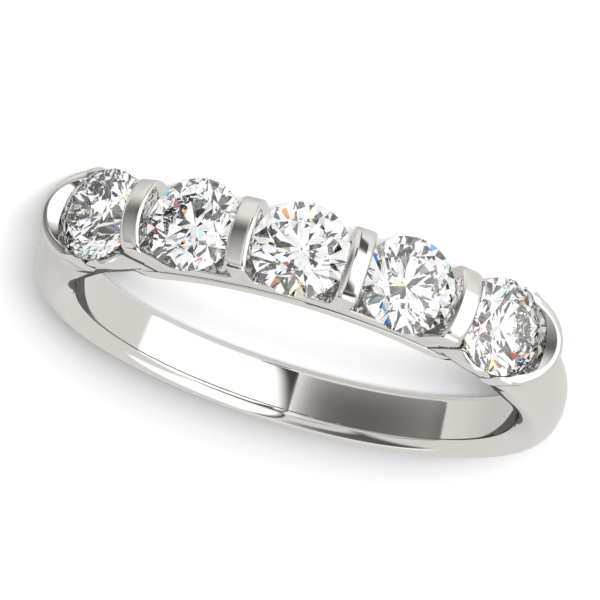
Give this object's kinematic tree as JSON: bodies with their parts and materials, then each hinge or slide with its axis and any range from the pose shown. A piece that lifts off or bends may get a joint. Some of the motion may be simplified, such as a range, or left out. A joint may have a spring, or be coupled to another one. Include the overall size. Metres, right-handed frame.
{
  "type": "wedding ring",
  "caption": "Polished white metal finger ring with a row of round brilliant stones held between upright bars and half-round end rims on a tapering plain shank.",
  "frame": {"origin": "the middle of the finger hollow, on its axis", "axes": "+Z along the finger axis, up when the ring lies on its side; -Y from the axis to the middle stone; +X to the first stone of the row, the left one in the picture"},
  "size_m": [0.0208, 0.0229, 0.0038],
  "materials": {
    "white_gold": "high polish, white gold",
    "diamond": "faceted, clear, colourless"
  },
  "bodies": {
    "root": {"band": "white_gold", "stone_1": "diamond", "stone_2": "diamond", "stone_3": "diamond", "stone_4": "diamond", "stone_5": "diamond"}
  },
  "joints": []
}
